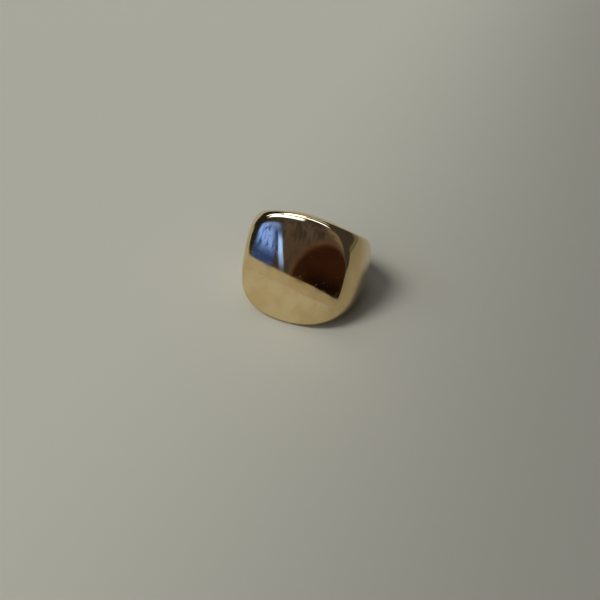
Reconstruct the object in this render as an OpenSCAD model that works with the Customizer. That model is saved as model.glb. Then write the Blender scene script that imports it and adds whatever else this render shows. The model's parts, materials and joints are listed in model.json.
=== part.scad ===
// Hollow-built signet ring: a domed face plate on a head wall, two shoulders and a shank,
// soldered together around a lining that forms the finger hole.
// The ring rests on a level surface on its lower edge, with the face turned to -Y.
// The origin is the middle of the finger hole, +Z is up and lengths are in millimetres.

/* [Finger hole] */
// Diameter of the finger hole
hole_d = 17.6; // [17:0.1:18]
// Thickness of the lining around the finger hole
lining_t = 0.5; // [0.4:0.05:0.6]
// Distance of the finger hole's axis behind the sweep axis of the outer shape
hole_back = 1.2; // [1.1:0.05:1.3]

/* [Face] */
// Distance from the sweep axis to the middle of the face
face_reach = 9.85; // [9.75:0.05:10]
// Radius of the face's curve around the finger at the head's upper end
face_radius_top = 52; // [45:1:80]
// The same radius at the head's lower end
face_radius_bottom = 71; // [50:1:90]
// Radius of the face's curve along the finger
face_radius_along = 300; // [200:10:500]
// How far the face rolls down along its rim
rim_drop = 0.17; // [0.05:0.01:0.25]
// How closely the roll-off keeps to the rim
rim_power = 7.5; // [5:0.5:10]
// How quickly the roll-off fades from the head's upper end to its lower end
roll_fade = 2.5; // [1:0.5:4]
// Thickness of the face plate
plate_t = 0.7; // [0.6:0.05:0.75]
// Radius of the rounding along the face's rim
rim_round = 0.25; // [0.2:0.05:0.35]

/* [Head] */
// Half of the head's height along the finger
head_half = 9.6; // [9.4:0.1:10]
// Angle from the face's middle to the end of the head
head_angle = 52; // [51:1:56]
// Half of the hollow's size around the finger
hollow_half_across = 6.2; // [5:0.1:6.5]
// Half of the hollow's size along the finger
hollow_half_along = 6.6; // [5:0.1:7]
// Radius of the hollow's corners
hollow_corner = 2.5; // [1:0.1:3]

/* [Shoulders and shank] */
// Half of the ring's breadth, from the sweep axis to a shoulder's side
side_reach = 10.8; // [10.75:0.05:11]
// Distance at which the plan outline would close ahead of the face
plan_front = 12.4; // [12.2:0.05:12.6]
// Power of the superellipse of the plan outline, where 2 is an ellipse
plan_power = 2.96; // [2.9:0.02:3.04]
// Power of the superellipse of a section through the band
section_power = 2.66; // [2.4:0.02:2.8]
// Thickness of the shank at the back, lining included
back_t = 1.5; // [1.4:0.05:2]
// Half of the width that the shank narrows towards at the back
back_half = 3.3; // [2.5:0.1:3.5]
// Angle over which most of the narrowing happens
taper_angle = 99; // [95:1:110]
// How sharply the ring narrows
taper_power = 2; // [1.8:0.05:2.2]
// Angle from the face's middle to the joint of a shoulder and the shank
shank_angle = 102; // [95:1:110]

/* [Solder] */
// Thickness of the solder under the face plate
face_solder_t = 0.12; // [0.08:0.01:0.15]
// Angle taken up by a solder joint across the band
solder_angle = 1.2; // [0.8:0.1:2]

/* [Finish] */
// Angle between two sections of the band
band_step = 4; // [3:1:6]
// Number of points across one section of the band
section_points = 20; // [12:2:24]
// Number of points around the face
rim_points = 96; // [72:4:120]

/* [Hidden] */
GOLD = "goldenrod";
SOLDER = "khaki";
hole_r = hole_d / 2;
lining_r = hole_r + lining_t;
lining_mid = hole_r + lining_t / 2;              // middle of the lining's thickness
root_r = 8.9;                                   // radius where the section's rounding starts
seat_lip = 0.05;                                // first step of a section away from the lining
back_reach = hole_back + hole_r + back_t;       // from the sweep axis to the back of the shank
clear = 1;                                      // overshoot of the cutting shapes
through = 2 * (head_half + clear);              // length that passes the whole ring
head_floor = 4.5;                               // base of the head's blank, inside the lining
head_levels = 8;                                // steps down the side of the head's blank
search_steps = 24;                              // halvings in the search for the rim
search_far = 15;                                // start of that search, outside the ring
trim_step = 6;                                  // angle between points of the lining's edge
round_steps = 3;                                // steps round the rim's rounding
bore_fn = 96;                                   // segments of the drawn finger hole
corner_fn = 48;                                 // segments of the drawn hollow's corners
rim_reach = 9.3;                                // forward position of the rim, on average
past_rim = 1.05;                                // side share up to which the roll-off goes on
disc_steps = 6;                                 // rings between the face's middle and its rim
crowding = 1.6;                                 // how much closer those rings are at the rim
disc_rings = [for (i = [1 : disc_steps]) 1 - pow(1 - i / disc_steps, crowding)];

// Outer radius of the plan outline at angle a from the face's middle
function plan_r(a) =
    cos(a) > 0
    ? pow(pow(abs(sin(a)) / side_reach, plan_power) + pow(cos(a) / plan_front, plan_power), -1 / plan_power)
    : 1 / norm([sin(a) / side_reach, cos(a) / back_reach]);

// Half of the ring's width along the finger at angle a
function half_width(a) =
    let (turn = min(abs(a), 360 - abs(a)))
    back_half + (head_half - back_half) * exp(-pow(turn / taper_angle, taper_power));

// Superellipse coordinate of one component of a unit direction
function bulge(v) = sign(v) * pow(abs(v), 2 / section_power);

// Half of the ring's width along the finger at angle a and radius r
function half_of(a, r) =
    let (depth = max(0, r - root_r) / (plan_r(a) - root_r))
    depth >= 1 ? 0 : half_width(a) * pow(1 - pow(depth, section_power), 1 / section_power);

// The same at x, and forward of the sweep axis by f
function half_at(x, f) = half_of(atan2(x, f), norm([x, f]));

// Share of the way to the ring's side, from 0 deep inside it to 1 at its surface
function side_share(x, f, z) =
    let (a = atan2(x, f), depth = max(0, norm([x, f]) - root_r) / (plan_r(a) - root_r))
    pow(depth, section_power) + pow(abs(z) / half_width(a), section_power);

// Radius from the sweep axis, at angle a, of the flats that wrap the lining
function seat_r(a) =
    let (flat_r = lining_r / cos(band_step / 2))
    sqrt(pow(flat_r, 2) - pow(hole_back * sin(a), 2)) - hole_back * cos(a);

// Share of the way up the head at height z, from 0 at its lower end to 1 at its upper end
function upward(z) = min(1, max(0, (1 + z / head_half) / 2));

// Curvature of the face around the finger at height z
function face_bend(z) = (1 - upward(z)) / face_radius_bottom + upward(z) / face_radius_top;

// Depth of the roll-off at x and z
function roll(x, z) =
    rim_drop * pow(upward(z), roll_fade) * pow(min(side_share(x, rim_reach, z), past_rim), rim_power);

// Forward position of the face's dome at x and z
function dome(x, z) =
    face_reach - x * x * face_bend(z) / 2 - z * z / (2 * face_radius_along) - roll(x, z);

// Forward position of a level: the dome lowered by drop, blended by share towards the head's floor
function level(x, z, drop, share) = (1 - share) * (dome(x, z) - drop) + share * head_floor;

// Distance from the face's middle, in direction k, at which a level meets the ring's side
function rim(k, drop, share = 0, near = 0, far = search_far, n = search_steps) =
    let (s = (near + far) / 2)
    let (f = level(s * cos(k), s * sin(k), drop, share))
    n == 0 ? s
    : abs(s * sin(k)) < half_at(s * cos(k), f)
    ? rim(k, drop, share, s, far, n - 1)
    : rim(k, drop, share, near, s, n - 1);

// Point at x, forward by f and up the finger by z
function place(x, f, z) = [x, -hole_back - f, z];

// Closed section of the band at angle a, from one inner corner round the outside to the other
function section(a) =
    let (w = half_width(a), t = plan_r(a) - root_r, seat = seat_r(a))
    let (start = max(0, seat + seat_lip - root_r) / t)
    let (end = acos(pow(start, section_power / 2)))
    let (arc = [for (i = [0 : section_points]) let (u = end * (2 * i / section_points - 1))
        [root_r + t * bulge(cos(u)), w * bulge(sin(u))]])
    [for (p = [[seat, -half_of(a, seat)], each arc, [seat, half_of(a, seat)]])
        place(p[0] * sin(a), p[0] * cos(a), p[1])];

// Ring of points round the face, inset from the rim at a level and scaled towards the middle
function rim_ring(drop, share = 0, inset = 0, scale = 1) =
    [for (i = [0 : rim_points - 1])
        let (k = 360 * i / rim_points, s = scale * (rim(k, drop, share) - inset))
        place(s * cos(k), level(s * cos(k), s * sin(k), drop, share), s * sin(k))];

// Triangles that join ring i to ring i + 1, for rings of m points
function skin(i, m) =
    [for (j = [0 : m - 1]) let (a = i * m + j, b = i * m + (j + 1) % m) each
        [[a, b, b + m], [a, b + m, a + m]]];

// Piece of the band between two angles, wrapped over the lining
module band_piece(from, to) {
    steps = ceil((to - from) / band_step);
    rings = [for (i = [0 : steps]) section(from + (to - from) * i / steps)];
    m = len(rings[0]);
    first_cap = [for (j = [m - 1 : -1 : 0]) j];
    last_cap = [for (j = [0 : m - 1]) steps * m + j];
    sides = [for (i = [0 : steps - 1]) each skin(i, m)];
    polyhedron([for (r = rings) each r], concat(sides, [first_cap, last_cap]));
}

// Solid through a list of rings, closed by a fan at a middle point above and below
module stack(top_middle, rings, bottom_middle) {
    m = rim_points;
    last = len(rings) - 1;
    top = len(rings) * m;
    top_fan = [for (j = [0 : m - 1]) [top, (j + 1) % m, j]];
    bottom_fan = [for (j = [0 : m - 1]) [top + 1, last * m + j, last * m + (j + 1) % m]];
    sides = [for (i = [0 : last - 1]) each skin(i, m)];
    polyhedron(concat([for (r = rings) each r], [top_middle, bottom_middle]),
        concat(top_fan, sides, bottom_fan));
}

// Rings of a level surface, from the middle outwards
function surface_rings(drop) = [for (s = disc_rings) rim_ring(drop, 0, 0, s)];

// The same rings from the rim inwards
function surface_rings_inward(drop) =
    [for (i = [len(disc_rings) - 1 : -1 : 0]) rim_ring(drop, 0, 0, disc_rings[i])];

// Middle point of a level surface
function surface_middle(drop) = place(0, dome(0, 0) - drop, 0);

// Layer of the head between two depths under the face
module layer(upper, lower) {
    stack(surface_middle(upper), concat(surface_rings(upper), surface_rings_inward(lower)),
        surface_middle(lower));
}

// Cylinder about the finger hole's axis, passing the whole ring
module hole_cylinder(r) {
    cylinder(r = r, h = through, center = true, $fn = bore_fn);
}

// Opening in the head wall that the hollow takes up
module hollow() {
    inner_across = hollow_half_across - hollow_corner;
    inner_along = hollow_half_along - hollow_corner;
    rotate([90, 0, 0])
        linear_extrude(height = face_reach + hole_back + clear)
            union() {
                square([2 * inner_across, 2 * hollow_half_along], center = true);
                square([2 * hollow_half_across, 2 * inner_along], center = true);
                for (i = [-1, 1], j = [-1, 1])
                    translate([i * inner_across, j * inner_along])
                        circle(r = hollow_corner, $fn = corner_fn);
            }
}

// Wedge of space that the head takes up, between its two end planes
module head_wedge() {
    far = search_far / cos(head_angle);
    translate([0, -hole_back, 0])
        linear_extrude(height = through, center = true)
            polygon([[0, 0], [-far * sin(head_angle), -far * cos(head_angle)],
                [far * sin(head_angle), -far * cos(head_angle)]]);
}

// Side view of the lining, whose ends follow the edge of the outer shape
module lining_profile() {
    function edge(u) = [-lining_mid * cos(u), half_at(lining_mid * sin(u), lining_mid * cos(u) - hole_back)];
    upper = [for (u = [0 : trim_step : 180]) edge(u)];
    reach = lining_r + clear;
    top = concat([[-reach, upper[0][1]]], upper, [[reach, upper[len(upper) - 1][1]]]);
    bottom = [for (i = [len(top) - 1 : -1 : 0]) [top[i][0], -top[i][1]]];
    rotate([90, 0, 90])
        linear_extrude(height = through, center = true)
            polygon(concat(top, bottom));
}

// Ring in its own upright axes to its resting tilt, on the head's lower edge and the shank's
module rest() {
    front_edge = half_at(0, lining_mid - hole_back);
    back_edge = half_at(0, -lining_mid - hole_back);
    tilt = atan((front_edge - back_edge) / (lining_mid + lining_r));
    rotate([-tilt, 0, 0]) children();
}

module finger_sleeve() {
    color(GOLD) rest()
        intersection() {
            difference() {
                hole_cylinder(lining_r);
                hole_cylinder(hole_r);
            }
            lining_profile();
        }
}

module head_wall() {
    top = plate_t + face_solder_t;
    walls = [for (i = [1 : head_levels]) rim_ring(top, i / head_levels)];
    color(GOLD) rest()
        intersection() {
            difference() {
                stack(surface_middle(top), concat(surface_rings(top), walls), place(0, head_floor, 0));
                hole_cylinder(lining_r);
                hollow();
            }
            head_wedge();
        }
}

module face_solder() {
    color(SOLDER) rest()
        difference() {
            layer(plate_t, plate_t + face_solder_t);
            hollow();
        }
}

module face_plate() {
    rounding = [for (i = [0 : round_steps]) let (u = 90 * i / round_steps)
        rim_ring(rim_round * (1 - cos(u)), 0, rim_round * (1 - sin(u)))];
    inner = [for (i = [0 : len(disc_rings) - 2]) rim_ring(0, 0, rim_round, disc_rings[i])];
    color(GOLD) rest()
        stack(surface_middle(0), concat(inner, rounding, surface_rings_inward(plate_t)),
            surface_middle(plate_t));
}

module shoulder() {
    band_piece(head_angle + solder_angle, shank_angle);
}

module shoulder_right() {
    color(GOLD) rest() shoulder();
}

module shoulder_left() {
    color(GOLD) rest() mirror([1, 0, 0]) shoulder();
}

module head_solder_right() {
    color(SOLDER) rest() band_piece(head_angle, head_angle + solder_angle);
}

module head_solder_left() {
    color(SOLDER) rest() mirror([1, 0, 0]) band_piece(head_angle, head_angle + solder_angle);
}

module shank() {
    start = shank_angle + solder_angle;
    color(GOLD) rest() band_piece(start, 360 - start);
}

module shank_solder_right() {
    color(SOLDER) rest() band_piece(shank_angle, shank_angle + solder_angle);
}

module shank_solder_left() {
    color(SOLDER) rest() mirror([1, 0, 0]) band_piece(shank_angle, shank_angle + solder_angle);
}

finger_sleeve();
head_wall();
face_solder();
face_plate();
shoulder_right();
shoulder_left();
head_solder_right();
head_solder_left();
shank();
shank_solder_right();
shank_solder_left();
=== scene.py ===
"""Signet ring: finely curved, polished gold pieces around the CAD frame, on a pale floor."""

import json
import math

import bmesh
import bpy
import numpy as np
from mathutils import Matrix, Vector


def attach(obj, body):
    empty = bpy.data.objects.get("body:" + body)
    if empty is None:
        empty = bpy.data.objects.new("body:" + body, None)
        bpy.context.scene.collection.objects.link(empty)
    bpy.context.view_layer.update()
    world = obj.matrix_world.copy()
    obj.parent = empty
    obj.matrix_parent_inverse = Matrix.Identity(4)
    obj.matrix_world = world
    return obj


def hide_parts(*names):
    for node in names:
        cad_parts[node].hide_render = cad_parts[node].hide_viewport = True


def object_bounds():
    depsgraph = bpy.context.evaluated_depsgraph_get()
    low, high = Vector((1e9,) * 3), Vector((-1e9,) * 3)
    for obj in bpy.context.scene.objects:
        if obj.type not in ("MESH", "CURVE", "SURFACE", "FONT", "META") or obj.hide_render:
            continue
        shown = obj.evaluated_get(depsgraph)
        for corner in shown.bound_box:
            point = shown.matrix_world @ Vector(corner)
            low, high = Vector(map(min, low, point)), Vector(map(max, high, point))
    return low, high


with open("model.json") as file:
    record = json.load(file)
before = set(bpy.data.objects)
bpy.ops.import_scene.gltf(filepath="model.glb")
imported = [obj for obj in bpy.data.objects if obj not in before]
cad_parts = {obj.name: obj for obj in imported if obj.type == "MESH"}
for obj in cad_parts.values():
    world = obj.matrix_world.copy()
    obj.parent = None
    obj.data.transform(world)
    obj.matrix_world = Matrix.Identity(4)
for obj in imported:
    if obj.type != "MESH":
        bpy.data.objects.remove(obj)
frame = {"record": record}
CAD_BOX = [list(corner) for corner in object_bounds()]

# ---- The ring's driving dimensions, in millimetres and degrees ------------------------------------
MM = 0.001
BORE = frame["record"]["mounts"][0]
HOLE_RADIUS = BORE["dims"]["r_mm"]
TILT = math.atan2(BORE["axis"][1], BORE["axis"][2])
LINING = 0.5
LINING_RADIUS = HOLE_RADIUS + LINING
HOLE_BACK = 1.2
FACE_REACH = 9.85
FACE_RADIUS_TOP = 52.0
FACE_RADIUS_BOTTOM = 71.0
FACE_RADIUS_ALONG = 300.0
RIM_DROP = 0.17
RIM_POWER = 7.5
RIM_REACH = 9.3
PAST_RIM = 1.05
ROLL_FADE = 2.5
PLATE = 0.7
FACE_SOLDER = 0.12
HEAD_HALF = 9.6
HEAD_ANGLE = 52.0
HOLLOW_ACROSS = 6.2
HOLLOW_ALONG = 6.6
HOLLOW_CORNER = 2.5
SIDE_REACH = 10.8
PLAN_FRONT = 12.4
PLAN_POWER = 2.96
SECTION_POWER = 2.66
BACK_THICKNESS = 1.5
BACK_HALF = 3.3
TAPER_ANGLE = 99.0
SHANK_ANGLE = 102.0
SOLDER_ANGLE = 1.2
ROOT_RADIUS = 8.9
BACK_REACH = HOLE_BACK + HOLE_RADIUS + BACK_THICKNESS

# ---- Finish of the visible meshes, in millimetres -------------------------------------------------
RIM_ROUND = 0.25
LIP_ROUND = 0.28
RIM_STEPS = 480
SWEEP_STEP = 1.0
SECTION_STEPS = 72
SEAT_LIP = 0.05
PIVOT_DEPTH = 1.1
FACE_RINGS = 32
RIM_RINGS = 26
WALL_RINGS = 14
SLEEVE_STEPS = 240
END_RINGS = 4
LIP_RINGS = 9
BORE_RINGS = 12
UNDER_RINGS = 12
BASE_RINGS = 14
FACE_CROWDING = 1.5
SEARCH_NEAR = 1.0
SEARCH_FAR = 14.0
RIM_SEARCH = 4.0
FALL_SEARCH = 6.0
WELD = 2e-8
RIM_WEAR = 0.9
BACK_WEAR_START = 110.0
BACK_WEAR_SPAN = 60.0


# ---- The outer shape ------------------------------------------------------------------------------
# Points are given as x, f and z: across, forward of the sweep axis, and up the finger.
def plan_radius(angle):
    """Outer radius of the plan outline at an angle from the face's middle, in radians."""
    side = np.abs(np.sin(angle)) / SIDE_REACH
    ahead = np.cos(angle)
    front = (side**PLAN_POWER + (np.abs(ahead) / PLAN_FRONT) ** PLAN_POWER) ** (-1 / PLAN_POWER)
    back = 1 / np.hypot(side, ahead / BACK_REACH)
    return np.where(ahead > 0, front, back)


def half_width(angle):
    """Half of the ring's width along the finger."""
    turned = np.abs(angle)
    share = np.degrees(np.minimum(turned, 2 * math.pi - turned)) / TAPER_ANGLE
    return BACK_HALF + (HEAD_HALF - BACK_HALF) * np.exp(-(share**2))


def half_of(angle, radius):
    """Half of the width at a radius, where the section's rounding narrows it."""
    depth = np.clip(radius - ROOT_RADIUS, 0, None) / (plan_radius(angle) - ROOT_RADIUS)
    inside = np.clip(1 - depth**SECTION_POWER, 0, None)
    return half_width(angle) * inside ** (1 / SECTION_POWER)


def side_share(points):
    """Share of the way to the ring's side: 0 deep inside, 1 at its surface."""
    x, f, z = points
    angle = np.arctan2(x, f)
    depth = np.clip(np.hypot(x, f) - ROOT_RADIUS, 0, None) / (plan_radius(angle) - ROOT_RADIUS)
    return depth**SECTION_POWER + (np.abs(z) / half_width(angle)) ** SECTION_POWER


def dome(x, z):
    """Forward position of the face."""
    rolled = np.minimum(side_share(np.array([x, RIM_REACH + 0 * x, z])), PAST_RIM) ** RIM_POWER
    upward = np.clip((1 + z / HEAD_HALF) / 2, 0, 1)
    bend = (1 - upward) / FACE_RADIUS_BOTTOM + upward / FACE_RADIUS_TOP
    curve = x * x * bend / 2 + z * z / (2 * FACE_RADIUS_ALONG)
    return FACE_REACH - curve - RIM_DROP * rolled * upward**ROLL_FADE


def side_level(points):
    """Below 0 inside the ring's side surface, above 0 outside."""
    return side_share(points) - 1


def face_level(points):
    """Height above the face's dome."""
    x, f, z = points
    return f - dome(x, z)


def gradient(level, points, step=1e-4):
    """Gradient of a level function, by central differences."""
    rows = []
    for axis in range(3):
        shift = np.zeros((3,) + (1,) * (points.ndim - 1))
        shift[axis] = step
        rows.append((level(points + shift) - level(points - shift)) / (2 * step))
    return np.array(rows)


def distance(level, points):
    """First-order distance to a level function's surface."""
    slope = np.linalg.norm(gradient(level, points), axis=0)
    return level(points) / np.maximum(slope, 1e-6)


def body_level(points):
    """Distance to the body: the side and the face, with a rounded rim where they meet."""
    side = distance(side_level, points)
    face = distance(face_level, points)
    corner = np.hypot(np.maximum(side + RIM_ROUND, 0), np.maximum(face + RIM_ROUND, 0))
    return np.minimum(np.maximum(side, face), -RIM_ROUND) + corner


def unit(vectors):
    """Vectors scaled to length 1, along the first axis."""
    return vectors / np.maximum(np.linalg.norm(vectors, axis=0), 1e-12)


def bisect(test, near, far, steps=40):
    """Largest value between near and far at which test is still true."""
    for _ in range(steps):
        middle = (near + far) / 2
        inside = test(middle)
        near = np.where(inside, middle, near)
        far = np.where(inside, far, middle)
    return near


def rim(k, drop):
    """Distance from the face's middle, in direction k, to the side, at a depth under the face."""

    def inside(s):
        x, z = s * np.cos(k), s * np.sin(k)
        return side_level(np.array([x, dome(x, z) - drop, z])) < 0

    return bisect(inside, np.full_like(k, SEARCH_NEAR), np.full_like(k, SEARCH_FAR))


def side_reach_at(k, f):
    """Distance from the face's middle axis to the side surface, in direction k at depth f."""

    def inside(s):
        return side_level(np.array([s * np.cos(k), f, s * np.sin(k)])) < 0

    return bisect(inside, np.full_like(k, SEARCH_NEAR), np.full_like(k, SEARCH_FAR))


def seat_radius(angle):
    """Radius from the sweep axis to the outside of the lining."""
    across = (HOLE_BACK * np.sin(angle)) ** 2
    return np.sqrt(LINING_RADIUS**2 - across) - HOLE_BACK * np.cos(angle)


# ---- From ring coordinates to the CAD frame -------------------------------------------------------
TO_FRAME = np.array(
    [
        [1, 0, 0],
        [0, -math.cos(TILT), math.sin(TILT)],
        [0, math.sin(TILT), math.cos(TILT)],
    ]
)


def place(points):
    """Points x, f, z in millimetres to rows of metres in the CAD frame."""
    flat = points.reshape(3, -1) + np.array([[0], [HOLE_BACK], [0]])
    return (TO_FRAME @ flat).T * MM


def turn(vectors):
    """Directions x, f, z to rows in the CAD frame."""
    return (TO_FRAME @ vectors.reshape(3, -1)).T


def worn_share(points):
    """How much a place is rubbed in wear: 1 on the face's rim and at the back of the shank."""
    x, f, z = points
    rim_band = np.exp(-((distance(side_level, points) / RIM_WEAR) ** 2))
    rim_band *= np.exp(-((face_level(points) / RIM_WEAR) ** 2))
    behind = np.clip((np.degrees(np.abs(np.arctan2(x, f))) - BACK_WEAR_START) / BACK_WEAR_SPAN, 0, 1)
    return np.maximum(rim_band, behind)


# ---- Meshes ---------------------------------------------------------------------------------------
class Shell:
    """Collects grids of points into one closed mesh whose polished skin has exact normals."""

    def __init__(self, name):
        self.name = name
        self.points = []
        self.faces = []
        self.corners = []
        self.wear = []
        self.count = 0

    def grid(self, points, normals=None, around=False):
        """Adds points shaped 3 x rows x columns. Without normals the grid is shaded flat."""
        rows, columns = points.shape[1:]
        index = self.count + np.arange(rows * columns).reshape(rows, columns)
        if around:
            index = np.concatenate([index, index[:, :1]], axis=1)
        quads = np.stack([index[:-1, :-1], index[:-1, 1:], index[1:, 1:], index[1:, :-1]], axis=-1)
        quads = quads.reshape(-1, 4)
        self.points.append(place(points))
        self.wear.append(worn_share(points).reshape(-1))
        self.faces.append(quads)
        given = np.zeros((rows * columns, 3)) if normals is None else turn(normals)
        self.corners.append(given[(quads - self.count).reshape(-1)])
        self.count += rows * columns

    def build(self, material):
        """Joins the grids into the CAD node's stand-in, which rides on the ring."""
        mesh = bpy.data.meshes.new(self.name)
        mesh.from_pydata(np.concatenate(self.points).tolist(), [], np.concatenate(self.faces).tolist())
        kept = mesh.attributes.new("skin", "FLOAT_VECTOR", "CORNER")
        kept.data.foreach_set("vector", np.concatenate(self.corners).reshape(-1))
        wear = mesh.attributes.new("wear", "FLOAT", "POINT")
        wear.data.foreach_set("value", np.concatenate(self.wear))
        weld = bmesh.new()
        weld.from_mesh(mesh)
        bmesh.ops.remove_doubles(weld, verts=weld.verts, dist=WELD)
        bmesh.ops.recalc_face_normals(weld, faces=weld.faces)
        weld.to_mesh(mesh)
        weld.free()
        self._shade(mesh)
        piece = bpy.data.objects.new(self.name + "_polished", mesh)
        bpy.context.scene.collection.objects.link(piece)
        mesh.materials.append(material)
        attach(piece, "root")
        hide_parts(self.name)
        return piece

    @staticmethod
    def _shade(mesh):
        """Gives each corner its polished normal, or the face's own where it has none."""
        corners = np.zeros(3 * len(mesh.loops))
        mesh.attributes["skin"].data.foreach_get("vector", corners)
        corners = corners.reshape(-1, 3)
        sizes = np.array([polygon.loop_total for polygon in mesh.polygons])
        flat = np.repeat(np.array([polygon.normal[:] for polygon in mesh.polygons]), sizes, axis=0)
        bare = np.linalg.norm(corners, axis=1) < 0.5
        corners[bare] = flat[bare]
        mesh.polygons.foreach_set("use_smooth", [True] * len(mesh.polygons))
        mesh.normals_split_custom_set(corners.tolist())
        mesh.attributes.remove(mesh.attributes["skin"])


def skin(level, points):
    """Unit normals of a level function's surface at points."""
    return unit(gradient(level, points))


DIRECTIONS = np.linspace(0, 2 * math.pi, RIM_STEPS, endpoint=False)


def under_face(reach, depth):
    """Points in the directions round the face, at a reach from its middle and a depth under it."""
    x = reach * np.cos(DIRECTIONS)
    z = reach * np.sin(DIRECTIONS)
    return np.array([x, dome(x, z) - depth, z])


def rows_of(makers):
    """Stacks rings of points into a grid."""
    return np.stack(list(makers), axis=1)


def hollow_reach():
    """Distance from the face's middle to the hollow's rounded-square wall."""
    inner = np.array([[HOLLOW_ACROSS - HOLLOW_CORNER], [HOLLOW_ALONG - HOLLOW_CORNER]])

    def inside(s):
        away = np.abs(np.array([s * np.cos(DIRECTIONS), s * np.sin(DIRECTIONS)])) - inner
        outside = np.linalg.norm(np.maximum(away, 0), axis=0)
        return outside + np.minimum(away.max(axis=0), 0) < HOLLOW_CORNER

    return bisect(inside, np.full(RIM_STEPS, SEARCH_NEAR), np.full(RIM_STEPS, SEARCH_FAR))


def make_face_plate(material):
    """The domed face, its rounded rim and the edge of the plate under it."""
    shell = Shell("face_plate")
    shoulder_start = rim(DIRECTIONS, 0) - PIVOT_DEPTH
    shares = 1 - (1 - np.linspace(0, 1, FACE_RINGS)) ** FACE_CROWDING
    top = rows_of(under_face(shoulder_start * share, 0) for share in shares)
    shell.grid(top, skin(face_level, top), around=True)
    pivot = under_face(shoulder_start, PIVOT_DEPTH)
    edge = under_face(rim(DIRECTIONS, PLATE), PLATE)
    outward = np.hypot(edge[0] - pivot[0], edge[2] - pivot[2])
    lowest = np.arctan2(edge[1] - pivot[1], outward)
    rings = [top[:, -1]]
    for share in np.linspace(0, 1, RIM_RINGS)[1:-1]:
        slope = math.pi / 2 + share * (lowest - math.pi / 2)
        ray = np.array(
            [np.cos(slope) * np.cos(DIRECTIONS), np.sin(slope), np.cos(slope) * np.sin(DIRECTIONS)]
        )
        reach = bisect(
            lambda t: body_level(pivot + t * ray) < 0,
            np.zeros(RIM_STEPS),
            np.full(RIM_STEPS, RIM_SEARCH),
        )
        rings.append(pivot + reach * ray)
    rings.append(edge)
    round_rim = rows_of(rings)
    normals = skin(body_level, round_rim)
    normals[:, 0] = skin(face_level, rings[0])
    normals[:, -1] = skin(side_level, edge)
    shell.grid(round_rim, normals, around=True)
    inward = np.linspace(1, 0, UNDER_RINGS)
    under = rows_of(under_face(rim(DIRECTIONS, PLATE) * share, PLATE) for share in inward)
    shell.grid(under, around=True)
    return shell.build(material)


def make_face_solder(material):
    """The thin line of solder between the plate and the head wall."""
    shell = Shell("face_solder")
    depths = np.linspace(PLATE, PLATE + FACE_SOLDER, 3)
    side = rows_of(under_face(rim(DIRECTIONS, depth), depth) for depth in depths)
    shell.grid(side, skin(side_level, side), around=True)
    inner = hollow_reach()
    top = under_face(inner, PLATE)
    bottom = under_face(inner, PLATE + FACE_SOLDER)
    shell.grid(rows_of([side[:, -1], bottom, top, side[:, 0]]), around=True)
    return shell.build(material)


def head_base(x):
    """Forward position of the head's underside: on the lining, or on the head's end planes."""
    lining = np.sqrt(np.maximum(LINING_RADIUS**2 - x * x, 0)) - HOLE_BACK
    return np.maximum(lining, np.abs(x) / math.tan(math.radians(HEAD_ANGLE)))


def make_head_wall(material):
    """The frame between the face and the lining, open in the middle."""
    shell = Shell("head_wall")
    top_depth = PLATE + FACE_SOLDER
    top = under_face(rim(DIRECTIONS, top_depth), top_depth)

    def drop(fall):
        f = top[1] - fall
        reach = side_reach_at(DIRECTIONS, f)
        return np.array([reach * np.cos(DIRECTIONS), f, reach * np.sin(DIRECTIONS)])

    def above(fall):
        point = drop(fall)
        return point[1] > head_base(point[0])

    fall = bisect(above, np.zeros(RIM_STEPS), np.full(RIM_STEPS, FALL_SEARCH))
    side = rows_of([top] + [drop(fall * share) for share in np.linspace(0, 1, WALL_RINGS)[1:]])
    shell.grid(side, skin(side_level, side), around=True)
    outer = np.hypot(side[0, -1], side[2, -1])
    inner = hollow_reach()
    base = [side[:, -1]]
    for share in np.linspace(0, 1, BASE_RINGS)[1:]:
        reach = outer + share * (inner - outer)
        x = reach * np.cos(DIRECTIONS)
        base.append(np.array([x, head_base(x), reach * np.sin(DIRECTIONS)]))
    shell.grid(rows_of(base + [under_face(inner, top_depth), top]), around=True)
    return shell.build(material)


def section(angle):
    """Outline of the band at an angle: from the lining round the outside and back to it."""
    seat = float(seat_radius(angle))
    thickness = float(plan_radius(angle)) - ROOT_RADIUS
    start = max(0.0, seat + SEAT_LIP - ROOT_RADIUS) / thickness
    end = math.acos(start ** (SECTION_POWER / 2))
    around = end * np.linspace(-1, 1, SECTION_STEPS + 1)
    radius = ROOT_RADIUS + thickness * np.cos(around) ** (2 / SECTION_POWER)
    rise = np.sign(np.sin(around)) * np.abs(np.sin(around)) ** (2 / SECTION_POWER)
    height = float(half_width(angle)) * rise
    edge = float(half_of(angle, seat))
    radius = np.concatenate([[seat], radius, [seat]])
    height = np.concatenate([[-edge], height, [edge]])
    return np.array([radius * math.sin(angle), radius * math.cos(angle), height])


def make_band(name, start, stop, material):
    """A piece of the band between two angles in degrees."""
    shell = Shell(name)
    steps = max(2, math.ceil(abs(stop - start) / SWEEP_STEP))
    sections = [section(math.radians(a)) for a in np.linspace(start, stop, steps + 1)]
    outside = rows_of(sections)
    shell.grid(outside, skin(side_level, outside))
    shell.grid(outside[:, :, [-1, 0]])
    for end in (sections[0], sections[-1]):
        half = end.shape[1] // 2
        folded = np.stack([end[:, :half], end[:, : -half - 1 : -1]], axis=2)
        shell.grid(folded)
        tip = end[:, half - 1 : half + 2]
        shell.grid(np.stack([tip[:, :2], tip[:, [2, 1]]], axis=2))
    return shell.build(material)


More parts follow.
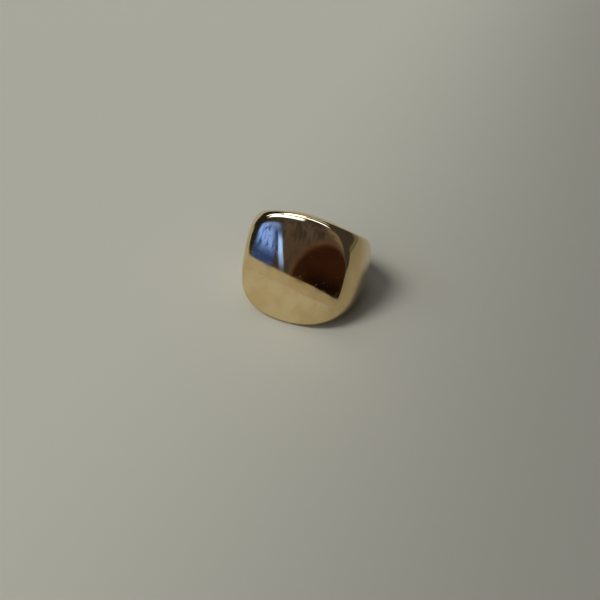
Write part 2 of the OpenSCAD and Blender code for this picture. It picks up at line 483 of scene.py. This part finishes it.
def make_sleeve(material):
    """The lining, with softly rounded lips at both ends of the finger hole."""
    shell = Shell("finger_sleeve")
    around = np.linspace(0, 2 * math.pi, SLEEVE_STEPS, endpoint=False)
    radial = np.array([np.sin(around), np.cos(around), 0 * around])

    def ring(radius, height):
        return np.array([radius * radial[0], radius * radial[1] - HOLE_BACK, height + 0 * around])

    def end_height(radius):
        point = ring(radius, 0)
        return half_of(np.arctan2(point[0], point[1]), np.hypot(point[0], point[1]))

    lip_radius = HOLE_RADIUS + LIP_ROUND
    lip_height = end_height(lip_radius)
    rings = []
    normals = []
    for radius in np.linspace(LINING_RADIUS, lip_radius, END_RINGS):
        rings.append(ring(radius, end_height(radius)))
        normals.append(skin(side_level, rings[-1]))
    end_normal = normals[-1]
    for share in np.linspace(0, 1, LIP_RINGS)[1:]:
        bend = share * math.pi / 2
        radius = HOLE_RADIUS + LIP_ROUND * (1 - math.sin(bend))
        rings.append(ring(radius, lip_height - LIP_ROUND * (1 - math.cos(bend))))
        normals.append(unit(math.cos(bend) * end_normal - math.sin(bend) * radial))
    bore_top = rings[-1][2]
    for share in np.linspace(1, -1, BORE_RINGS)[1:-1]:
        rings.append(ring(HOLE_RADIUS, bore_top * share))
        normals.append(-radial)
    flip = np.array([[1], [1], [-1]])
    upper = END_RINGS + LIP_RINGS - 1
    rings += [r * flip for r in rings[:upper][::-1]]
    normals += [n * flip for n in normals[:upper][::-1]]
    shell.grid(rows_of(rings), rows_of(normals), around=True)
    shell.grid(rows_of([rings[-1], rings[0]]), around=True)
    return shell.build(material)


# ---- Materials ------------------------------------------------------------------------------------
class Nodes:
    """Short calls for building a shader's node tree."""

    def __init__(self, tree):
        self.tree = tree
        tree.nodes.clear()

    def add(self, kind, **values):
        """A node with its properties set."""
        node = self.tree.nodes.new(kind)
        for key, value in values.items():
            setattr(node, key, value)
        return node

    def link(self, source, target):
        """Connects an output socket to an input socket."""
        self.tree.links.new(source, target)
        return target

    def math(self, operation, first, second):
        """A math node over sockets or numbers."""
        node = self.add("ShaderNodeMath", operation=operation)
        for socket, value in zip(node.inputs, (first, second)):
            if isinstance(value, (int, float)):
                socket.default_value = value
            else:
                self.link(value, socket)
        return node.outputs[0]

    def mapped(self, scale, rotation=(0, 0, 0)):
        """Object coordinates, stretched and turned."""
        coordinates = self.add("ShaderNodeTexCoord").outputs["Object"]
        mapping = self.add("ShaderNodeMapping")
        mapping.inputs["Rotation"].default_value = rotation
        mapping.inputs["Scale"].default_value = scale
        self.link(coordinates, mapping.inputs["Vector"])
        return mapping.outputs["Vector"]

    def noise(self, scale, detail=2.0, stretch=(1, 1, 1), rotation=(0, 0, 0)):
        """Noise with a frequency per metre, optionally stretched along one direction."""
        node = self.add("ShaderNodeTexNoise")
        node.inputs["Scale"].default_value = scale
        node.inputs["Detail"].default_value = detail
        self.link(self.mapped(stretch, rotation), node.inputs["Vector"])
        return node.outputs["Fac"]

    def band(self, value, low, high, start=0.0, stop=1.0):
        """Value mapped smoothly from low..high to start..stop, held at both ends."""
        node = self.add("ShaderNodeMapRange", interpolation_type="SMOOTHSTEP")
        node.inputs["From Min"].default_value = low
        node.inputs["From Max"].default_value = high
        node.inputs["To Min"].default_value = start
        node.inputs["To Max"].default_value = stop
        self.link(value, node.inputs["Value"])
        return node.outputs["Result"]


def gold(name, bright, deep, roughness, scratches):
    """Polished yellow metal: slow waviness, hairline scratches, pits and faint tarnish."""
    material = bpy.data.materials.new(name)
    material.use_nodes = True
    nodes = Nodes(material.node_tree)
    output = nodes.add("ShaderNodeOutputMaterial")
    metal = nodes.add("ShaderNodeBsdfPrincipled")
    metal.inputs["Metallic"].default_value = 1.0
    nodes.link(metal.outputs["BSDF"], output.inputs["Surface"])

    wear = nodes.add("ShaderNodeAttribute", attribute_name="wear").outputs["Fac"]
    tarnish = nodes.band(nodes.noise(TARNISH_DENSITY, 4.0), *TARNISH_BAND)
    tone = nodes.add("ShaderNodeMix", data_type="RGBA")
    tone.inputs["A"].default_value = (*bright, 1)
    tone.inputs["B"].default_value = (*deep, 1)
    nodes.link(tarnish, tone.inputs["Factor"])
    nodes.link(tone.outputs["Result"], metal.inputs["Base Color"])

    hairs = None
    for turns in SCRATCH_TURNS:
        lines = nodes.noise(SCRATCH_DENSITY, 1.0, SCRATCH_STRETCH, turns)
        lines = nodes.band(lines, *SCRATCH_BAND)
        hairs = lines if hairs is None else nodes.math("MAXIMUM", hairs, lines)
    rubbed = nodes.band(nodes.noise(RUBBED_DENSITY, 2.0), 0.45, 0.65, 0.15, 1.0)
    rubbed = nodes.math("ADD", rubbed, nodes.math("MULTIPLY", wear, WEAR_SCRATCHES))
    hairs = nodes.math("MULTIPLY", hairs, rubbed)
    specks = nodes.add("ShaderNodeTexVoronoi")
    specks.inputs["Scale"].default_value = PIT_DENSITY
    nodes.link(nodes.mapped((1, 1, 1)), specks.inputs["Vector"])
    pits = nodes.band(specks.outputs["Distance"], 0.0, PIT_WIDTH, 1.0, 0.0)
    sparse = nodes.band(nodes.noise(PIT_PATCHES, 1.0), 0.60, 0.66)
    pits = nodes.math("MULTIPLY", pits, sparse)

    clear, dull = roughness * (1 - HAZE_SPREAD), roughness * (1 + HAZE_SPREAD)
    haze = nodes.band(nodes.noise(HAZE_DENSITY, 3.0), 0.3, 0.7, clear, dull)
    haze = nodes.math("ADD", haze, nodes.math("MULTIPLY", wear, WEAR_ROUGHNESS))
    worn = nodes.math("MULTIPLY", hairs, SCRATCH_ROUGHNESS * scratches)
    nodes.link(nodes.math("ADD", haze, worn), metal.inputs["Roughness"])

    waves = nodes.math("MULTIPLY", nodes.noise(WAVE_DENSITY, 1.0), WAVE_HEIGHT)
    cuts = nodes.math("MULTIPLY", hairs, SCRATCH_DEPTH * scratches)
    holes = nodes.math("MULTIPLY", pits, PIT_DEPTH)
    relief = nodes.math("SUBTRACT", nodes.math("SUBTRACT", waves, cuts), holes)
    bump = nodes.add("ShaderNodeBump")
    bump.inputs["Strength"].default_value = 1.0
    bump.inputs["Distance"].default_value = 1.0
    nodes.link(relief, bump.inputs["Height"])
    nodes.link(bump.outputs["Normal"], metal.inputs["Normal"])
    return material


def pale_floor():
    """A matt, warm grey surface whose colour carries painted shade: a little darker on the side away
    from the daylight.
    """
    material = bpy.data.materials.new("floor_paint")
    material.use_nodes = True
    nodes = Nodes(material.node_tree)
    output = nodes.add("ShaderNodeOutputMaterial")
    paint = nodes.add("ShaderNodeBsdfPrincipled")
    paint.inputs["Roughness"].default_value = 0.85
    nodes.link(paint.outputs["BSDF"], output.inputs["Surface"])
    place_on_floor = nodes.add("ShaderNodeSeparateXYZ")
    nodes.link(nodes.mapped((1, 1, 1)), place_on_floor.inputs[0])
    # Painted shade: the floor's colour darkens towards +X, away from the daylight.
    painted_shade = nodes.band(place_on_floor.outputs["X"], *FLOOR_PAINTED_SHADE_SPAN)
    tone = nodes.add("ShaderNodeMix", data_type="RGBA")
    tone.inputs["A"].default_value = (*FLOOR_PALE, 1)
    tone.inputs["B"].default_value = (*FLOOR_PAINTED_SHADE, 1)
    nodes.link(painted_shade, tone.inputs["Factor"])
    nodes.link(tone.outputs["Result"], paint.inputs["Base Color"])
    return material


# ---- Tones, and the sizes of the metal's wear; densities are per metre ----------------------------
# The floor fades from pale to darker towards +X over this span: painted shade, away from the daylight.
FLOOR_PAINTED_SHADE_SPAN = (-0.03, 0.065)
FLOOR_PALE = (0.605, 0.60, 0.515)
FLOOR_PAINTED_SHADE = (0.34, 0.334, 0.287)
PALE_HORIZON = (0.41, 0.40, 0.345)
SHADED_HORIZON = (0.18, 0.175, 0.15)
# The backdrop darkens towards +X like the floor: painted shade.
PALE_BACKDROP = (0.40, 0.39, 0.35)
PAINTED_SHADE_BACKDROP = (0.215, 0.21, 0.19)
BACKDROP_PAINTED_SHADE_SPAN = (-0.05, 0.1)
WINDOW_LEAN = 0.95
ALL_ROUND = (-181, 181)
TARNISH_DENSITY = 260.0
TARNISH_BAND = (0.38, 0.68)
SCRATCH_TURNS = ((0.2, 0.1, 0.4), (0.5, 1.1, 2.1), (1.3, 0.3, 1.2), (0.9, 2.0, 0.2))
SCRATCH_DENSITY = 7000.0
SCRATCH_STRETCH = (0.04, 1.0, 1.0)
SCRATCH_BAND = (0.66, 0.74)
SCRATCH_ROUGHNESS = 0.05
SCRATCH_DEPTH = 1.5e-7
RUBBED_DENSITY = 500.0
WEAR_SCRATCHES = 1.5
WEAR_ROUGHNESS = 0.015
HAZE_DENSITY = 420.0
HAZE_SPREAD = 0.3
WAVE_DENSITY = 330.0
WAVE_HEIGHT = 4e-6
PIT_DENSITY = 1400.0
PIT_WIDTH = 0.16
PIT_PATCHES = 700.0
PIT_DEPTH = 3e-6

POLISHED = gold("polished_gold", (0.84, 0.645, 0.345), (0.76, 0.55, 0.265), 0.026, 1.0)
BORE_GOLD = gold("lining_gold", (0.89, 0.68, 0.37), (0.80, 0.57, 0.28), 0.12, 1.6)
SOLDER = gold("gold_solder", (0.85, 0.66, 0.365), (0.78, 0.57, 0.285), 0.04, 0.8)

# ---- The ring -------------------------------------------------------------------------------------
make_face_plate(POLISHED)
make_face_solder(SOLDER)
make_head_wall(POLISHED)
make_sleeve(BORE_GOLD)
SHOULDER_START = HEAD_ANGLE + SOLDER_ANGLE
SHANK_START = SHANK_ANGLE + SOLDER_ANGLE
for side, sign in (("right", 1), ("left", -1)):
    make_band("shoulder_" + side, sign * SHOULDER_START, sign * SHANK_ANGLE, POLISHED)
    make_band("head_solder_" + side, sign * HEAD_ANGLE, sign * SHOULDER_START, SOLDER)
    make_band("shank_solder_" + side, sign * SHANK_ANGLE, sign * SHANK_START, SOLDER)
make_band("shank", SHANK_START, 360 - SHANK_START, POLISHED)

# ---- Floor, light and camera ----------------------------------------------------------------------
FLOOR_HALF = 0.6
floor_mesh = bpy.data.meshes.new("floor")
floor_z = CAD_BOX[0][2]
floor_corners = [(-1, -1), (1, -1), (1, 1), (-1, 1)]
floor_points = [(x * FLOOR_HALF, y * FLOOR_HALF, floor_z) for x, y in floor_corners]
floor_mesh.from_pydata(floor_points, [], [(0, 1, 2, 3)])
floor = bpy.data.objects.new("floor", floor_mesh)
bpy.context.scene.collection.objects.link(floor)
floor_mesh.materials.append(pale_floor())


def aim(light, azimuth, elevation, distance):
    """Puts a light at a distance from the ring, looking at it."""
    made = bpy.data.objects.new(light.name, light)
    a, e = math.radians(azimuth), math.radians(elevation)
    away = Vector((math.sin(a) * math.cos(e), -math.cos(a) * math.cos(e), math.sin(e)))
    made.location = away * distance
    made.rotation_mode = "QUATERNION"
    made.rotation_quaternion = away.to_track_quat("Z", "Y")
    bpy.context.scene.collection.objects.link(made)


def softbox(name, azimuth, elevation, distance, width, height, power, colour):
    """A soft area light that looks at the ring."""
    light = bpy.data.lights.new(name, "AREA")
    light.shape = "RECTANGLE"
    light.size = width
    light.size_y = height
    light.energy = power
    light.color = colour
    aim(light, azimuth, elevation, distance)


def far_light(name, azimuth, elevation, spread, strength, colour):
    """A large, soft, distant light that lights the floor evenly; spread is its size in degrees."""
    light = bpy.data.lights.new(name, "SUN")
    light.angle = math.radians(spread)
    light.energy = strength
    light.color = colour
    aim(light, azimuth, elevation, 1.0)


far_light("key", -37, 52, 20, 1.57, (1.0, 0.985, 0.94))
softbox("fill", -150, 65, 1.1, 0.9, 0.5, 1.3, (1.0, 0.99, 0.95))


class Room(Nodes):
    """A world shader that is mixed from soft-edged areas of colour round the ring."""

    def __init__(self, tree):
        super().__init__(tree)
        self.output = self.add("ShaderNodeOutputWorld")
        direction = self.add("ShaderNodeSeparateXYZ")
        self.link(self.add("ShaderNodeTexCoord").outputs["Generated"], direction.inputs[0])
        self.across = direction.outputs["X"]
        ahead = self.math("MULTIPLY", direction.outputs["Y"], -1.0)
        turned = self.math("ARCTAN2", direction.outputs["X"], ahead)
        self.azimuth = self.math("DEGREES", turned, 0.0)
        self.elevation = self.math("DEGREES", self.math("ARCSINE", direction.outputs["Z"], 0.0), 0.0)
        lean = self.math("MULTIPLY", self.elevation, WINDOW_LEAN)
        self.leaning = self.math("ADD", self.azimuth, lean)
        self.colour = None

    def cloud(self, scale):
        """Soft blotches over the sky."""
        node = self.add("ShaderNodeTexNoise")
        node.inputs["Scale"].default_value = scale
        self.link(self.add("ShaderNodeTexCoord").outputs["Generated"], node.inputs["Vector"])
        return node.outputs["Fac"]

    def window(self, value, low, high, soft):
        """1 between two angles, falling softly to 0 outside them."""
        rise = self.band(value, low - soft, low + soft)
        fall = self.band(value, high - soft, high + soft, 1.0, 0.0)
        return self.math("MULTIPLY", rise, fall)

    def area(self, colour, azimuths, elevations, softness, strength=1.0, leaning=False):
        """Lays an area of colour over what is there, between azimuths and elevations in degrees."""
        sideways = self.leaning if leaning else self.azimuth
        inside = self.math(
            "MULTIPLY",
            self.window(sideways, *azimuths, softness[0]),
            self.window(self.elevation, *elevations, softness[1]),
        )
        self.cover(colour, self.math("MULTIPLY", inside, strength))

    def oval(self, colour, middle, radii, softness):
        """Lays an oval of colour over what is there; softness is a share of its radii."""
        parts = []
        for value, centre, radius in zip((self.azimuth, self.elevation), middle, radii):
            part = self.math("DIVIDE", self.math("SUBTRACT", value, centre), radius)
            parts.append(self.math("POWER", self.math("ABSOLUTE", part, 0.0), 2.0))
        away = self.math("ADD", *parts)
        self.cover(colour, self.band(away, 1 - softness, 1 + softness, 1.0, 0.0))

    def cover(self, colour, share):
        """Mixes a share of a colour over what is there."""
        mix = self.add("ShaderNodeMix", data_type="RGBA")
        self.link(share, mix.inputs["Factor"])
        self.link(self.colour, mix.inputs["A"])
        mix.inputs["B"].default_value = (*colour, 1)
        self.colour = mix.outputs["Result"]


def studio_world():
    """A dim, warm room with cool daylight at the left, and a pale backdrop for the camera."""
    world = bpy.data.worlds.new("studio")
    world.use_nodes = True
    room = Room(world.node_tree)
    base = room.add("ShaderNodeRGB")
    base.outputs[0].default_value = (0.045, 0.042, 0.045, 1)
    room.colour = base.outputs[0]
    # The warm room ahead: a lighter patch, blotches and a reddish oval with a dark foot.
    blotches = room.band(room.cloud(30.0), 0.42, 0.58)
    room.area((0.17, 0.145, 0.125), (-2, 10), (8.5, 21), (2.5, 2.0))
    room.area((0.085, 0.075, 0.078), (-22, 3), (3, 13), (2.0, 2.0), blotches)
    room.area((0.080, 0.060, 0.055), (-19, -12), (-20, 7), (1.5, 1.4), blotches)
    room.oval((0.10, 0.066, 0.058), (3, 0.5), (18.5, 7.4), 0.12)
    room.oval((0.031, 0.012, 0.008), (4.5, 0.3), (19, 7.0), 0.12)
    room.area((0.006, 0.003, 0.002), (-8, 60), (-20, 2.8), (4, 1.6))
    # The dark left, and the window with its sky, its upper edge and a bright stripe.
    sky = room.band(room.cloud(45.0), 0.36, 0.56)
    glow = room.band(room.elevation, 1.0, 3.8, 0.25, 1.0)
    room.area((0.016, 0.018, 0.022), (-150, -32), (-20, 60), (2, 4))
    room.area((0.030, 0.072, 0.33), (-31.5, -22.5), (-20, 6.5), (1.6, 1.0))
    room.area((0.27, 0.56, 2.10), (-28.2, -20.3), (2.8, 6.3), (1.4, 1.0), sky, True)
    room.area((0.30, 0.60, 1.90), (-27.0, -17.4), (5.7, 6.9), (1.5, 0.6), 0.6, True)
    room.area((0.48, 0.93, 2.70), (-18.3, -16.4), (1.4, 5.0), (0.4, 0.7), glow, True)
    # Two ceiling lights, warmer and dimmer in what they throw on the floor than in the metal.
    rays = room.add("ShaderNodeLightPath").outputs
    mirrored = room.math("SUBTRACT", 1.0, rays["Is Diffuse Ray"])
    for colour, strength in (((2.3, 2.2, 1.95), 1.0), ((2.6, 3.3, 5.2), mirrored)):
        room.area(colour, (-36, -15), (14, 21), (2, 1.2), strength)
        room.area(colour, (-70, 4), (27.5, 42), (3, 1.2), strength)
    # The surface on which the ring lies, beyond the floor's edge, and something dark behind it.
    room.area(PALE_HORIZON, ALL_ROUND, (-91, 0.9), (0.1, 0.12))
    room.area(SHADED_HORIZON, (4, 181), (-91, 0.9), (32, 0.12))
    room.area((0.13, 0.125, 0.10), (90, 165), (-91, 8), (2, 2))
    # What the camera sees is a plain backdrop that goes on with the floor's tones, with the same
    # painted shade: darker towards +X.
    backdrop = room.add("ShaderNodeMix", data_type="RGBA")
    room.link(room.band(room.across, *BACKDROP_PAINTED_SHADE_SPAN), backdrop.inputs["Factor"])
    backdrop.inputs["A"].default_value = (*PALE_BACKDROP, 1)
    backdrop.inputs["B"].default_value = (*PAINTED_SHADE_BACKDROP, 1)
    seen = room.add("ShaderNodeMix", data_type="RGBA")
    room.link(rays["Is Camera Ray"], seen.inputs["Factor"])
    room.link(room.colour, seen.inputs["A"])
    room.link(backdrop.outputs["Result"], seen.inputs["B"])
    background = room.add("ShaderNodeBackground")
    room.link(seen.outputs["Result"], background.inputs["Color"])
    room.link(background.outputs[0], room.output.inputs["Surface"])
    bpy.context.scene.world = world
    bpy.context.scene.view_settings.view_transform = "Standard"


studio_world()

# The camera's place relative to the sweep axis: turned about the vertical, then raised.
CAMERA_AZIMUTH = math.radians(16.3)
CAMERA_ELEVATION = math.radians(36.76)
CAMERA_ROLL = math.radians(5.64)
CAMERA_DISTANCE = 162.3 * MM
RING_RIGHT = 0.95 * MM
RING_UP = 7.78 * MM
LENS = 54.0

camera_data = bpy.data.cameras.new("camera")
camera_data.lens = LENS
camera_data.sensor_width = 36.0
camera_data.clip_start = 0.005
camera_data.clip_end = 10.0
camera = bpy.data.objects.new("camera", camera_data)
bpy.context.scene.collection.objects.link(camera)
away = Vector((0, -math.cos(CAMERA_ELEVATION), math.sin(CAMERA_ELEVATION)))
right = Vector((1, 0, 0))
up = away.cross(right)
azimuth = Matrix.Rotation(CAMERA_AZIMUTH, 3, "Z")
away, right, up = azimuth @ away, azimuth @ right, azimuth @ up
sweep_axis = Vector(place(np.zeros((3, 1)))[0])
camera_place = sweep_axis + away * CAMERA_DISTANCE - right * RING_RIGHT - up * RING_UP
roll = Matrix.Rotation(CAMERA_ROLL, 3, away)
axes = Matrix((roll @ right, roll @ up, away)).transposed()
camera.matrix_world = Matrix.Translation(camera_place) @ axes.to_4x4()
bpy.context.scene.camera = camera
